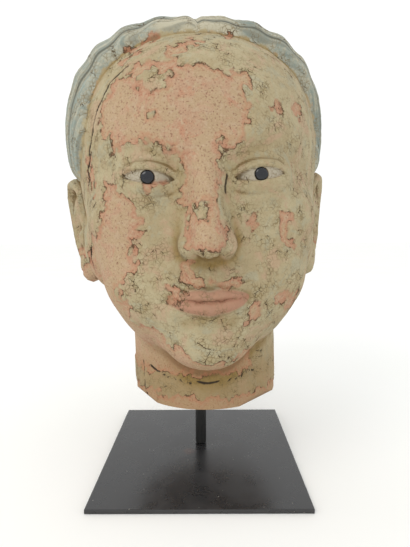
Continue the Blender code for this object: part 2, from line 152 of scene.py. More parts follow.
# A thin even film of soil, and how much of the paint and the clay it covers
SOIL = "#4A3B28"
SOIL_FILM = 0.13

# Where the paint is lost: outlines on the head's front, in millimetres across and up from the chin
LOST_OUTLINES = {
    "forehead_and_nose": (
        (-28, 181), (-37, 183), (-40, 176), (-50, 176), (-53, 170), (-56, 164), (-61, 158), (-59, 147),
        (-54, 140), (-52, 133), (-43, 136), (-36, 137), (-28, 136), (-23, 132), (-17, 128), (-13, 123),
        (-13, 119), (-12, 115), (-13, 108), (-16, 101), (-11, 95), (-12, 80), (-9, 76), (-1, 73),
        (6, 76), (11, 82), (8, 88), (6, 90), (5, 99), (7, 109), (12, 117), (13, 123), (16, 132),
        (20, 132), (25, 135), (26, 137), (21, 140), (24, 146), (25, 150), (25, 157), (23, 162),
        (27, 163), (30, 170), (27, 172), (13, 173), (5, 175), (-5, 176), (-17, 182),
    ),
    "cheek_and_jaw": (
        (-59, 117), (-58, 112), (-60, 105), (-60, 99), (-63, 94), (-65, 87), (-73, 85), (-84, 69),
        (-96, 60), (-96, -8), (30, -8), (26, 9), (17, 6), (7, 7), (-4, 8), (-12, 11), (-16, 18),
        (-26, 20), (-28, 29), (-41, 28), (-47, 32), (-46, 42), (-49, 48), (-51, 60), (-41, 65),
        (-42, 80), (-38, 86), (-36, 91), (-39, 98), (-40, 103), (-49, 108), (-51, 113),
    ),
}
# Smaller losses, and flakes still left inside the large ones: across, up, half width, half height
LOST_SPOTS = (
    (-12, 189, 6, 5), (-3, 195, 4, 3), (47, 87, 4, 9), (51, 77, 4, 4), (46, 44, 5, 5), (54, 40, 4, 7),
    (28, 89, 3, 3), (26, 37, 5, 7), (10, 57, 8, 4), (-12, 64, 4, 5), (-20, 51, 5, 5), (44, 154, 3, 3),
    (60, 157, 4, 5), (-27, 205, 4, 5), (-38, 197, 4, 6), (-46, 187, 3, 3), (-70, 124, 2.5, 11),
    (-24, 112, 6, 2.5), (21, 8, 6, 5), (-93, 74, 5, 4), (101, 78, 3, 5), (18, 204, 4, 3), (-9, 57, 5, 3),
)
KEPT_FLAKES = ((-27, 171, 9, 6), (11, 126, 4, 7), (-4, 97, 3, 4), (-53, 50, 3, 4), (-30, 150, 2.5, 2.5))

# Cracks through the clay and the ground, as points across, back and up, in millimetres
CRACKS = (
    ((-41, -64, 182), (-53, -60, 175), (-61, -58, 161), (-67, -53, 147), (-72, -45, 134), (-75, -38, 112),
     (-79, -24, 90), (-80, -14, 72), (-79, -10, 58)),
    ((-8, -57, 205), (2, -57, 206), (8, -57, 205), (16, -56, 202)),
    ((12, -82, 117), (11, -84, 107)),
    ((-45, -29, -4), (-45, -30, -24), (-44, -31, -34)),
    ((-41, -35, -5), (-27, -47, -9), (-14, -52, -13), (9, -53, -13), (36, -40, -7)),
    ((38, -40, 2), (52, -34, 7)),
)

# Studio
FLOOR_HALF = 12.0
WORLD_STRENGTH = 1.05


# Distance functions. Each takes points as an (n, 3) array and gives a signed distance, negative inside.


def ellipsoid(points, centre, radii):
    scaled = (points - np.array(centre)) / np.array(radii)
    near = np.linalg.norm(scaled, axis=1)
    steep = np.linalg.norm(scaled / np.array(radii), axis=1)
    return near * (near - 1.0) / np.maximum(steep, 1e-9)


def squarer(points, centre, radii, power):
    """An ellipsoid whose outline from the front is squarer, by a power over 2."""
    scaled = np.abs(points - np.array(centre)) / np.array(radii) + 1e-9
    outline = (scaled[:, 0] ** power + scaled[:, 2] ** power) ** (1.0 / power)
    near = np.hypot(outline, scaled[:, 1])
    rise = (scaled[:, [0, 2]] / outline[:, None]) ** (power - 1.0) * outline[:, None]
    steep = np.linalg.norm(np.column_stack([rise, scaled[:, 1]]) / np.array(radii)[[0, 2, 1]], axis=1)
    return near * (near - 1.0) / np.maximum(steep, 1e-9)


def taper(points, start, end, start_radius, end_radius):
    """A straight limb whose radius runs from one end's to the other's."""
    start, end = np.array(start), np.array(end)
    along = end - start
    share = np.clip((points - start) @ along / (along @ along), 0.0, 1.0)
    axis_distance = np.linalg.norm(points - start - share[:, None] * along, axis=1)
    return axis_distance - (start_radius + share * (end_radius - start_radius))


def limb(points, path, radii):
    """Tapers end to end along a path."""
    joined = taper(points, path[0], path[1], radii[0], radii[1])
    for i in range(1, len(path) - 1):
        joined = np.minimum(joined, taper(points, path[i], path[i + 1], radii[i], radii[i + 1]))
    return joined


def blend(first, second, reach):
    """The union of two forms, with a fillet of about this reach."""
    share = np.clip(0.5 + 0.5 * (second - first) / reach, 0.0, 1.0)
    return second * (1.0 - share) + first * share - reach * share * (1.0 - share)


def carve(body, cutter, reach):
    """The body with the cutter taken out of it, with soft edges."""
    return -blend(-body, cutter, reach)


def ramp(value, low, high):
    share = np.clip((value - low) / (high - low), 0.0, 1.0)
    return share * share * (3.0 - 2.0 * share)


def bump(value, width):
    return np.exp(-((value / width) ** 2))


# The head's forms, in shares of its height. Points come with x mirrored to the positive side.


def skull_and_jaw(p):
    form = squarer(p, (0.0, 0.075, 0.600), (0.385, 0.430, 0.372), 2.4)
    form = blend(form, ellipsoid(p, (0.0, -0.060, 0.640), (0.325, 0.308, 0.280)), 0.05)
    form = blend(form, ellipsoid(p, (0.0, -0.055, 0.385), (0.335, 0.295, 0.350)), 0.06)
    form = blend(form, ellipsoid(p, (0.0, -0.080, 0.175), (0.262, 0.250, 0.182)), 0.06)
    form = blend(form, ellipsoid(p, (0.0, -0.262, 0.070), (0.105, 0.088, 0.074)), 0.07)
    form = blend(form, ellipsoid(p, (0.195, -0.205, 0.400), (0.105, 0.105, 0.080)), 0.07)
    return blend(form, ellipsoid(p, (0.155, -0.210, 0.260), (0.120, 0.115, 0.120)), 0.07)


def neck(p, radius):
    side = np.hypot(p[:, 0], p[:, 1]) - radius
    return np.maximum(side, p[:, 2] - 0.30)


def brow(p):
    path = [(0.036, -0.350, 0.560), (0.125, -0.346, 0.598), (0.235, -0.270, 0.590)]
    return limb(p, path, [0.012, 0.012, 0.008])


def eye_socket(p):
    return ellipsoid(p, (0.138, -0.420, 0.505), (0.090, 0.076, 0.052))


def eye_line(p):
    """How far along the eye a point is, from -1 at the inner corner to 1, and its height above the axis."""
    along = (p[:, 0] - EYE[0]) / EYE_HALF_WIDTH
    return along, p[:, 2] - EYE[2] - EYE_TILT * (p[:, 0] - EYE[0])


def lid_edges(along):
    arch = np.maximum(1.0 - along * along, 0.0)
    return 0.0200 * arch**0.70, -0.0135 * arch**0.90


def eye_opening(p):
    along, height = eye_line(p)
    upper, lower = lid_edges(along)
    past_corner = np.maximum(np.abs(along) - 1.0, 0.0) * EYE_HALF_WIDTH
    gap = np.maximum(height - upper, lower - height) + past_corner
    return np.maximum(gap, p[:, 1] - EYE[1])


def eyes(face, p):
    face = blend(face, ellipsoid(p, EYE, [EYE_RADIUS + LID_THICKNESS] * 3), 0.022)
    along, height = eye_line(p)
    upper, lower = lid_edges(along)
    over_eye = ramp(1.25 - np.abs(along), 0.0, 0.45) * (p[:, 1] < EYE[1])
    crease = bump(height - upper - 0.0200, 0.0050) * 0.0050
    bag = bump(height - lower + 0.0300, 0.0070) * 0.0030
    face = face + (crease + bag) * over_eye
    opened = carve(face, eye_opening(p), 0.008)
    opened = np.minimum(opened, ellipsoid(p, EYE, [EYE_RADIUS] * 3))
    return np.minimum(opened, face + 0.016)


def nose(face, p):
    face = blend(face, taper(p, (0.0, -0.335, 0.500), (0.0, -0.362, 0.370), 0.036, 0.056), 0.040)
    face = blend(face, taper(p, (0.0, -0.346, 0.565), (0.0, -0.420, 0.362), 0.025, 0.031), 0.030)
    face = blend(face, ellipsoid(p, (0.0, -0.424, 0.340), (0.037, 0.034, 0.034)), 0.020)
    face = blend(face, ellipsoid(p, (0.045, -0.374, 0.333), (0.025, 0.034, 0.026)), 0.024)
    return carve(face, ellipsoid(p, (0.026, -0.402, 0.296), (0.012, 0.020, 0.014)), 0.008)


def lip_line(x):
    return 0.2030 + 0.003 * (x / MOUTH_HALF) ** 2 - 0.003 * bump(x, 0.018)


def lip_heights(x):
    """The red of the upper lip above the line between the lips, and of the lower lip below it."""
    reach = np.maximum(1.0 - (x / MOUTH_HALF) ** 2, 0.0)
    bow = 1.0 - 0.16 * bump(x, 0.014)
    return 0.0310 * reach**0.75 * bow + 0.0020, 0.0370 * reach**0.60 + 0.0020


def lip_share(p):
    """How far into a lip a point is: 0 between the lips and 1 at a lip's outer edge, past 1 outside it."""
    upper, lower = lip_heights(p[:, 0])
    rise = p[:, 2] - lip_line(p[:, 0])
    return np.where(rise > 0, rise / upper, -rise / lower)


def mouth(face, p):
    face = blend(face, ellipsoid(p, (0.0, -0.285, 0.205), (0.140, 0.095, 0.105)), 0.06)
    philtrum = taper(p, (0.0, -0.402, 0.290), (0.0, -0.398, 0.243), 0.010, 0.016)
    face = carve(face, philtrum, 0.016)
    chin_fold = taper(p, (0.0, -0.398, 0.130), (0.065, -0.372, 0.136), 0.028, 0.020)
    face = carve(face, chin_fold, 0.034)
    corner = ellipsoid(p, (MOUTH_HALF + 0.002, -0.366, 0.207), (0.014, 0.014, 0.014))
    face = carve(face, corner, 0.030)
    share = np.clip(lip_share(p), 0.0, 1.0)
    rise = np.abs(p[:, 2] - lip_line(p[:, 0]))
    fullness = np.where(p[:, 2] > lip_line(p[:, 0]), 0.0270, 0.0310)
    reach = np.clip(1.0 - (p[:, 0] / MOUTH_HALF) ** 2, 0.0, 1.0)
    swell = fullness * reach * (1.0 - share * share) * (1.0 - np.exp(-rise / 0.0085))
    return face - swell * (p[:, 1] < FACE_BACK)


def ear_frame(p):
    """Points in the ear's own axes: towards the back along the ear, up, and out from the head."""
    flare = math.radians(27.0)
    out = np.array([math.cos(flare), -math.sin(flare), 0.0])
    back = np.array([math.sin(flare), math.cos(flare), 0.0])
    moved = p - np.array([0.400, 0.085, 0.383])
    return np.stack([moved @ back, moved[:, 2], moved @ out], axis=1)


def ear(p):
    """The ear in low relief: a mass in front of it and behind it joins it to the head."""
    e = ear_frame(p)
    body = ellipsoid(e, (0.022, 0.045, -0.012), (0.076, 0.130, 0.026))
    lobe = ellipsoid(e, (0.002, -0.112, -0.018), (0.040, 0.062, 0.030))
    form = blend(body, lobe, 0.034)
    form = blend(form, ellipsoid(e, (0.006, 0.020, -0.085), (0.070, 0.140, 0.085)), 0.030)
    form = blend(form, ellipsoid(p, (0.285, 0.020, 0.340), (0.092, 0.120, 0.150)), 0.050)
    form = carve(form, ellipsoid(e, (0.006, -0.005, 0.030), (0.036, 0.062, 0.036)), 0.012)
    helix_path = [
        (-0.012, 0.030, 0.000), (-0.040, 0.080, 0.006), (-0.034, 0.136, 0.008),
        (0.004, 0.168, 0.014), (0.052, 0.166, 0.015), (0.086, 0.128, 0.011),
        (0.096, 0.065, 0.004), (0.084, -0.010, 0.000), (0.050, -0.080, -0.008),
    ]
    helix_radii = [0.008, 0.012, 0.015, 0.017, 0.018, 0.017, 0.015, 0.013, 0.010]
    form = blend(form, limb(e, helix_path, helix_radii), 0.012)
    fold_path = [(0.030, 0.108, 0.004), (0.056, 0.050, 0.006), (0.050, -0.030, 0.006), (0.012, -0.070, 0.006)]
    form = blend(form, limb(e, fold_path, [0.010, 0.013, 0.012, 0.010]), 0.010)
    return blend(form, ellipsoid(e, (-0.034, -0.015, 0.010), (0.015, 0.024, 0.014)), 0.010)


# Hair, combed from a parting at the top of the forehead down both sides and back to the nape


def hair_angles(p, side):
    """Which strand a point is on, as an angle about the gathering line under the nape, and how far
    down from the parting it is, as an angle round the head. On the head's own right the strands follow
    the hairline, which comes further forward there."""
    strand = np.arctan2(p[:, 2] - GATHER[1], GATHER[0] - p[:, 1])
    strand = strand + 1.6 * np.maximum(0.44 - p[:, 0], 0.0) * ramp(p[:, 1], 0.10, 0.50)
    forward = FORWARD_COMB * bump(p[:, 2] - 0.65, 0.19) * ramp(-p[:, 1], -0.25, 0.10)
    down = np.arctan2(p[:, 0], p[:, 2] - 0.50)
    return strand + forward * (side < 0), down


def lock_phase(p, side):
    """Counts the locks back from the hairline. The two sides wave a little differently."""
    strand, down = hair_angles(p, side)
    sway = 0.30 * np.sin(3.1 * down + 0.7 + 0.9 * side) + 0.10 * np.sin(7.3 * down + 9.0 * strand + side)
    return strand / LOCK_ANGLE + sway + 0.20 * side


def lock_swell(p, side):
    """Locks that rise and fall near the parting, so that the hair's upper outline is uneven."""
    strand, down = hair_angles(p, side)
    wave = np.sin(LOCK_WAVES * down + 1.5 * strand / LOCK_ANGLE + 1.4 * (1.0 + side))
    return SWELL_DEPTH * wave * ramp(p[:, 0], 0.0, 0.10) * ramp(p[:, 2], 0.70, 0.92)


def lock_relief(p, side):
    """Rounded locks with sharp valleys between them, strands combed along each, and the parting."""
    phase = lock_phase(p, side)
    ridge = np.sqrt(np.abs(np.sin(math.pi * phase)) + 1e-6)
    depth = 0.0105 + 0.0050 * np.cos(math.pi * phase)
    strands = STRAND_DEPTH * (0.5 - 0.5 * np.cos(2 * math.pi * STRANDS_PER_LOCK * phase))
    return ((1.0 - ridge) * depth + strands) * ramp(p[:, 0], 0.0, 0.07) + 0.009 * bump(p[:, 0], 0.014)


def face_window(p, side):
    """Negative where the face shows, in front of the hairline. The edge flares outwards, and on the head's
    own right the hair comes further forward."""
    spoke = p - np.array([0.0, -0.10, 0.50])
    radius = np.hypot(spoke[:, 0], spoke[:, 2]) + 1e-9
    angle = np.arctan2(radius, -spoke[:, 1])
    right_reach = HAIRLINE_RIGHT + (HAIRLINE_SIDE - HAIRLINE_RIGHT) * ramp(-spoke[:, 2], -0.20, 0.05)
    reach = np.where(side < 0, right_reach, HAIRLINE_SIDE)
    across = angle * spoke[:, 0] / radius / reach
    up = angle * np.maximum(spoke[:, 2], 0.0) / radius / HAIRLINE_TOP
    return ((across**2.3 + up**2.3 + 1e-12) ** (1 / 2.3) - 1.0) * 0.50


def below_hair(p):
    """Negative under the hair's lower edge: above the ear in front, and down to the nape behind."""
    edge = 0.545 + 0.40 * (p[:, 0] - 0.38) - 0.475 * ramp(p[:, 1], 0.11, 0.24)
    return (p[:, 2] - edge) * 0.8


def hair(p, side):
    hairline = face_window(p, side)
    hem = below_hair(p)
    front = 0.012 + 0.006 * ramp(p[:, 0], 0.05, 0.20) * (side < 0) + 0.004 * ramp(p[:, 2], 0.70, 0.92)
    thinned = front * np.exp(-np.maximum(hairline, 0.0) / 0.05) + 0.020 * np.exp(-np.maximum(hem, 0.0) / 0.05)
    form = squarer(p, HAIR_CENTRE, HAIR_RADII, HAIR_SQUARENESS) + thinned
    form = form + lock_relief(p, side) + lock_swell(p, side)
    form = carve(form, hairline, 0.012)
    return carve(form, hem, 0.030)


def folded(points):
    """Points mirrored to the positive side, and which side each came from."""
    p = points.copy()
    p[:, 0] = np.abs(p[:, 0])
    return p, np.sign(points[:, 0])


def bare_head(p):
    """Everything but the hair."""
    face = skull_and_jaw(p)
    face = blend(face, brow(p), 0.050)
    face = carve(face, eye_socket(p), 0.050)
    face = nose(face, p)
    face = eyes(face, p)
    face = mouth(face, p)
    form = blend(face, ear(p), 0.012)
    return blend(form, neck(p, NECK_RADIUS / HEAD_HEIGHT), 0.020)


def head_form(points):
    """Signed distance to the head's surface. Points and result are in shares of its height."""
    p, side = folded(points)
    return np.minimum(bare_head(p), hair(p, side))


# The head's surface: a cube's grid, spread over the form by rays that fan out from the head's axis


def rays_from_grid(directions):
    """Each grid direction's ray: where it starts on the axis and where it points."""
    pulled = directions + np.array([0.0, -FRONT_PULL, 0.0]) * ramp(directions[:, 2], -1.0, -0.85)[:, None]
    pulled /= np.linalg.norm(pulled, axis=1)[:, None]
    polar = np.degrees(np.arccos(np.clip(-pulled[:, 2], -1.0, 1.0)))
    stations, heights, slopes = np.array(RAY_STATIONS).T
    slope = np.radians(np.interp(polar, stations, slopes))
    flat = pulled[:, :2] / np.maximum(np.linalg.norm(pulled[:, :2], axis=1), 1e-9)[:, None]
    starts = np.zeros_like(pulled)
    starts[:, 2] = np.interp(polar, stations, heights)
    starts[:, 1] = 0.03 * ramp(polar, 40.0, 90.0)
    return starts, np.column_stack([flat * np.sin(slope)[:, None], -np.cos(slope)])


def surface_points(directions):
    """The outermost crossing of each ray with the form: walked in from outside, then halved down to."""
    starts, aims = rays_from_grid(directions)
    outer = np.full(len(starts), RAY_START)
    inner = np.full(len(starts), RAY_END)
    walking = np.arange(len(starts))
    for _ in range(MARCH_STEPS):
        here = starts[walking] + aims[walking] * outer[walking, None]
        step = np.clip(head_form(here) * STEP_SHARE, SHORTEST_STEP, LONGEST_STEP)
        ahead = outer[walking] - step
        outside = head_form(starts[walking] + aims[walking] * ahead[:, None]) > 0
        outer[walking[outside]] = ahead[outside]
        inner[walking[~outside]] = ahead[~outside]
        walking = walking[outside]
        if not len(walking):
            break
    for _ in range(HALVINGS):
        middle = (outer + inner) / 2
        outside = head_form(starts + aims * middle[:, None]) > 0
        outer = np.where(outside, middle, outer)
        inner = np.where(outside, inner, middle)
    return starts + aims * outer[:, None]


def neighbours_mean(values, edges):
    """Each point's neighbours' mean, along the mesh's edges."""
    first, second = edges[:, 0], edges[:, 1]
    count = len(values)
    links = np.bincount(first, minlength=count) + np.bincount(second, minlength=count)
    total = np.stack([
        np.bincount(first, column[second], count) + np.bincount(second, column[first], count)
        for column in values.T
    ], axis=1)
    return total / links[:, None]


def settle(places, edges):
    """Evens out the spacing of the points over the form, and brings each back onto it."""
    corners = np.array([[1, 1, 1], [1, -1, -1], [-1, 1, -1], [-1, -1, 1]]) * PROBE
    for turn in range(EVENING_TURNS + 1):
        if turn < EVENING_TURNS:
            places = places + EVENING_SHARE * (neighbours_mean(places, edges) - places)
        gaps = [head_form(places + corner) for corner in corners]
        slope = sum(gap[:, None] * corner for gap, corner in zip(gaps, corners)) / (4 * PROBE**2)
        step = sum(gaps) / 4 / np.maximum((slope**2).sum(axis=1), FLATTEST_SLOPE)
        places = places - np.clip(step[:, None] * slope, -LONGEST_MOVE, LONGEST_MOVE)
    return places


def outward(places, quads):
    """The surface's direction at each point."""
    across = np.cross(places[quads[:, 2]] - places[quads[:, 0]], places[quads[:, 3]] - places[quads[:, 1]])
    normals = np.stack([
        sum(np.bincount(quads[:, corner], across[:, i], len(places)) for corner in range(4)) for i in range(3)
    ], axis=1)
    normals /= np.maximum(np.linalg.norm(normals, axis=1), 1e-12)[:, None]
    return normals


# Wear: what is lost, cracked and hollow, point by point, in millimetres; soil and painted shade follow the
# hollows


def grain(points, size, seed):
    """Smooth noise between -1 and 1, with lumps of about this size."""
    shift = Vector((seed * 7.3, seed * 3.1, seed * 5.7))
    return np.array([noise.noise(Vector(point) + shift) for point in (points / size).tolist()])


def inside_outline(outline, across, up):
    """How deep inside an outline a point is, and negative outside it."""
    nearest = np.full(len(across), 1e9)
    within = np.zeros(len(across), bool)
    for (x0, z0), (x1, z1) in zip(outline, outline[1:] + outline[:1]):
        run, rise = x1 - x0, z1 - z0
        share = np.clip(((across - x0) * run + (up - z0) * rise) / (run * run + rise * rise), 0.0, 1.0)
        nearest = np.minimum(nearest, np.hypot(across - x0 - share * run, up - z0 - share * rise))
        if rise:
            crosses = (up >= min(z0, z1)) & (up < max(z0, z1)) & (across < x0 + (up - z0) * run / rise)
            within ^= crosses
    return np.where(within, nearest, -nearest)


def inside_spot(spot, across, up):
    x, z, wide, high = spot
    return (1.0 - np.hypot((across - x) / wide, (up - z) / high)) * min(wide, high)


def lost_depth(mm):
    """How far inside a loss of paint a point is, in millimetres."""
    across, back, up = mm.T
    lost = np.full(len(mm), -FAR)
    for outline in LOST_OUTLINES.values():
        lost = np.maximum(lost, inside_outline(outline, across, up))
    for spot in LOST_SPOTS:
        lost = np.maximum(lost, inside_spot(spot, across, up))
    for spot in KEPT_FLAKES:
        lost = np.minimum(lost, -inside_spot(spot, across, up))
    lost = np.where(back > DRAWN_LOSSES_END, -FAR, lost)
    behind = grain(mm, 22.0, 1) * 16.0 - 7.0
    lost = np.maximum(lost, np.where(back > BACK_LOSSES_START, behind, -FAR))
    upright = np.array(head_matrix().to_3x3().normalized())[2]
    lift = (mm / 1000.0) @ upright + CHIN_LEVEL - NECK_CUT
    return np.maximum(lost, RIM_HEIGHT - lift * 1000.0)


def flake_centres(mm, seed):
    """One point of the surface out of each small cube of space, picked by chance."""
    order = np.random.default_rng(seed).permutation(len(mm))
    cubes = {}
    for index in order:
        cubes.setdefault(tuple((mm[index] // FLAKE_SPACING).astype(int)), index)
    return mm[list(cubes.values())]


def nearest_flakes(mm, centres):
    """Distance to each point's nearest centre, and which one it is."""
    tree = kdtree.KDTree(len(centres))
    for index, centre in enumerate(centres):
        tree.insert(centre, index)
    tree.balance()
    found = [tree.find(point)[1:] for point in mm.tolist()]
    return np.array([gap for _, gap in found]), np.array([index for index, _ in found])


def bare_depth(mm):
    """Positive on bare clay and negative on paint: the paint left the clay in whole flakes."""
    chance = np.random.default_rng(SEED)
    centres = flake_centres(mm, SEED)
    lost = lost_depth(centres) + chance.uniform(-FLAKE_RAGGED, FLAKE_RAGGED, len(centres))
    to_paint, paint_flake = nearest_flakes(mm, centres[lost <= 0])
    to_bare, _ = nearest_flakes(mm, centres[lost > 0])
    tilt = chance.uniform(-1.0, 1.0, len(centres))
    return (to_paint - to_bare) / 2, tilt[paint_flake]


def crack_distance(mm, normals):
    """Distance along the surface to the nearest crack, in millimetres."""
    wander = np.stack([grain(mm, 6.0, seed) for seed in (2, 3, 4)], axis=1)
    moved = mm + wander * CRACK_WANDER
    nearest = np.full(len(mm), FAR)
    for crack in CRACKS:
        for start, end in zip(crack, crack[1:]):
            along = np.subtract(end, start)
            share = np.clip((moved - start) @ along / (along @ along), 0.0, 1.0)
            gap = moved - start - share[:, None] * along
            above = (gap * normals).sum(axis=1)
            across = np.linalg.norm(gap - above[:, None] * normals, axis=1)
            nearest = np.where(np.abs(above) < CRACK_REACH, np.minimum(nearest, across), nearest)
    return nearest


def head_wear(places, edges, quads):
    """Every mask that the paint and the clay follow, and how far each point moves in along its normal."""
    p, side = folded(places)
    mm = places * HEAD_HEIGHT * 1000.0
    normals = outward(places, quads)
    smooth = places.copy()
    hollows = {}
    for turn in range(1, HOLLOW_TURNS + 1):
        smooth += SMOOTHING_SHARE * (neighbours_mean(smooth, edges) - smooth)
        if turn in (CREASE_TURNS, HOLLOW_TURNS):
            hollows[turn] = ((smooth - places) * normals).sum(axis=1) * HEAD_HEIGHT * 1000.0
    gap = bare_head(p) - hair(p, side)
    bare, tilt = bare_depth(mm)
    crack = crack_distance(mm, normals)
    _, down = hair_angles(p, side)
    on_face = p[:, 1] < FACE_BACK
    lips = np.where((p[:, 0] < MOUTH_HALF) & on_face, 1.0 - lip_share(p), -1.0)
    eye = np.where(on_face, -eye_opening(p) * HEAD_HEIGHT * 1000.0, -EYE_MASK_REACH)
    masks = {
        "bare": bare,
        "crack": crack,
        "crease": hollows[CREASE_TURNS],
        "hollow": hollows[HOLLOW_TURNS],
        "hair": np.clip(gap * HEAD_HEIGHT * 1000.0, -HAIR_MASK_REACH, HAIR_MASK_REACH),
        "strand": lock_phase(p, side),
        "comb": down,
        "lips": np.clip(lips, -1.0, 1.0),
        "eye": np.clip(eye, -EYE_MASK_REACH, EYE_MASK_REACH),
    }
    open_crack = 1.0 - ramp(crack, 0.3, 1.4)
    pitted = np.maximum(grain(mm, 2.6, 5) - 0.25, 0.0)
    inset = GROUND_THICKNESS * ramp(bare, -0.4, 0.5)
    inset += pitted * (PIT_IN_PAINT + PIT_IN_CLAY * ramp(bare, 0.0, 1.5))
    inset += CRACK_DEPTH * open_crack + FLAKE_TILT * tilt * (1.0 - ramp(bare, -0.4, 0.4))
    inset += 0.22 * grain(mm, 17.0, 6) + 0.10 * grain(mm, 6.5, 7)
    return masks, normals * (-inset / HEAD_HEIGHT / 1000.0)[:, None]


def cut_off(grid, point, normal):
    """Cuts off what lies beyond a plane, and closes the cut."""
    everything = grid.verts[:] + grid.edges[:] + grid.faces[:]
    cut = bmesh.ops.bisect_plane(
        grid, geom=everything, dist=1e-6, plane_co=point, plane_no=normal, clear_outer=True
    )
    rim = [item for item in cut["geom_cut"] if isinstance(item, bmesh.types.BMEdge)]
    bmesh.ops.holes_fill(grid, edges=rim, sides=0)
    bmesh.ops.triangulate(grid, faces=[face for face in grid.faces if len(face.verts) > 4])


def cut_neck(grid):
    """Cuts the neck off flat, and chips its lower edge."""
    cut_off(grid, Vector((0.0, 0.0, NECK_CUT)), Vector((0.0, 0.0, -1.0)))
    for bearing, slope, depth in NECK_CHIPS:
        turn, fall = math.radians(bearing), math.radians(slope)
        out = Vector((math.sin(turn), -math.cos(turn), 0.0))
        corner = Vector((HEAD_SIDESTEP, ROD_SETBACK, NECK_CUT)) + out * NECK_RADIUS
        normal = out * math.cos(fall) - Vector((0.0, 0.0, math.sin(fall)))
        cut_off(grid, corner - normal * depth, normal)
    bmesh.ops.recalc_face_normals(grid, faces=grid.faces)


def head_matrix():
    """From the head's own frame to the row frame."""
    place = Matrix.Translation((HEAD_SIDESTEP, ROD_SETBACK, CHIN_LEVEL))
    turn = Euler((0.0, 0.0, HEAD_TURN)).to_matrix().to_4x4()
    lean = Euler((0.0, HEAD_LEAN, 0.0)).to_matrix().to_4x4()
    return place @ turn @ lean @ Matrix.Scale(HEAD_HEIGHT, 4)


# Pieces


def add_piece(name, form, material):
    """A bmesh as an object at the origin, with its material."""
    mesh = bpy.data.meshes.new(name)
    form.to_mesh(mesh)
    form.free()
    mesh.shade_smooth()
    mesh.materials.append(material)
    piece = bpy.data.objects.new(name, mesh)
    bpy.context.scene.collection.objects.link(piece)
    return piece


def head_piece(material):
    grid = bmesh.new()
    bmesh.ops.create_cube(grid, size=2.0)
    bmesh.ops.subdivide_edges(grid, edges=grid.edges[:], cuts=FORM_CELLS - 1, use_grid_fill=True)
    directions = np.tan(np.array([v.co[:] for v in grid.verts]) * math.pi / 4)
    directions /= np.linalg.norm(directions, axis=1)[:, None]
    edges = np.array([[v.index for v in edge.verts] for edge in grid.edges])
    quads = np.array([[v.index for v in face.verts] for face in grid.faces])
    places = settle(surface_points(directions), edges)
    masks, moves = head_wear(places, edges, quads)
    for vertex, place in zip(grid.verts, places + moves):
        vertex.co = place
    for name, values in masks.items():
        layer = grid.verts.layers.float.new(name)
        for vertex, value in zip(grid.verts, values.tolist()):
            vertex[layer] = value
    bmesh.ops.transform(grid, matrix=head_matrix(), verts=grid.verts)
    cut_neck(grid)
    head = add_piece("moulded_head", grid, material)
    head.data.set_sharp_from_angle(angle=SHARP_ANGLE)
    return head


def lens_form(radius, half_depth, matrix):
    """A lens-shaped bead, round about its own Y axis."""
    form = bmesh.new()
    bmesh.ops.create_uvsphere(form, u_segments=BEAD_ROUNDS, v_segments=BEAD_RINGS, radius=1.0)
    shape = Matrix.Diagonal((radius, half_depth, radius, 1.0)) @ Matrix.Rotation(math.pi / 2, 4, "X")
    bmesh.ops.transform(form, verts=form.verts, matrix=matrix @ shape)
    return form


def pupil_matrix(side):
    """Where a pupil sits on its eye: just proud of the eyeball, facing straight out of it."""
    glance = Vector((EYE[0] * side, EYE[1] - EYE_RADIUS, EYE[2] + 0.002))
    world = head_matrix()
    inward = world.to_3x3().normalized() @ Vector((0.0, 1.0, 0.0))
    centre = world @ glance + inward * (PUPIL_DEPTH / 2 - PUPIL_PROUD)
    return Matrix.Translation(centre) @ world.to_3x3().normalized().to_4x4()


def cut_pockets(head, clay):
    """Takes the rod's socket and the pupils' pockets out of the head."""
    forms = [
        lens_form(PUPIL_DIAMETER / 2 + TOUCH_GAP, PUPIL_DEPTH / 2 + TOUCH_GAP, pupil_matrix(side))
        for side in (-1, 1)
    ]
    socket = bmesh.new()
    height = SOCKET_DEPTH + NECK_LIFT / 2
    bmesh.ops.create_cone(
        socket, cap_ends=True, segments=ROD_SIDES, depth=height,
        radius1=ROD_DIAMETER / 2 + TOUCH_GAP, radius2=ROD_DIAMETER / 2 + TOUCH_GAP,
        matrix=Matrix.Translation((0.0, ROD_SETBACK, NECK_CUT - NECK_LIFT / 2 + height / 2)),
    )
    cutters = [add_piece("pocket_form", form, clay) for form in forms + [socket]]
    for cutter in cutters:
        pocket = head.modifiers.new("pocket", "BOOLEAN")
        pocket.operation = "DIFFERENCE"
        pocket.object = cutter
    finished = head.evaluated_get(bpy.context.evaluated_depsgraph_get())
    mesh = bpy.data.meshes.new_from_object(finished)
    head.modifiers.clear()
    head.data = mesh
    for cutter in cutters:
        bpy.data.objects.remove(cutter, do_unlink=True)


# Materials


def srgb(code):
    """A colour written as sRGB hex, as linear values."""
    parts = [int(code[i:i + 2], 16) / 255 for i in (1, 3, 5)]
    return (*[c / 12.92 if c <= 0.04045 else ((c + 0.055) / 1.055) ** 2.4 for c in parts], 1.0)


def add(tree, kind, inputs=None, out=0, **settings):
    """Adds a node with its settings, sets or links its inputs, and gives one of its outputs."""
    made = tree.nodes.new("ShaderNode" + kind)
    for name, value in settings.items():
        setattr(made, name, value)
    for socket, value in (inputs or {}).items():
        if isinstance(value, bpy.types.NodeSocket):
            tree.links.new(value, made.inputs[socket])
        else:
            made.inputs[socket].default_value = value
    return made.outputs[out]


def new_material(name, roughness, **sockets):
    material = bpy.data.materials.new(name)
    material.use_nodes = True
    shader = material.node_tree.nodes["Principled BSDF"]
    shader.inputs["Roughness"].default_value = roughness
    for socket, value in sockets.items():
        shader.inputs[socket.replace("_", " ")].default_value = value
    return material, material.node_tree, shader


def millimetres(tree):
    """The piece's own coordinates, in millimetres."""
    place = add(tree, "TexCoord", out="Object")
    return add(tree, "Mapping", {"Vector": place, "Scale": (1000.0, 1000.0, 1000.0)})


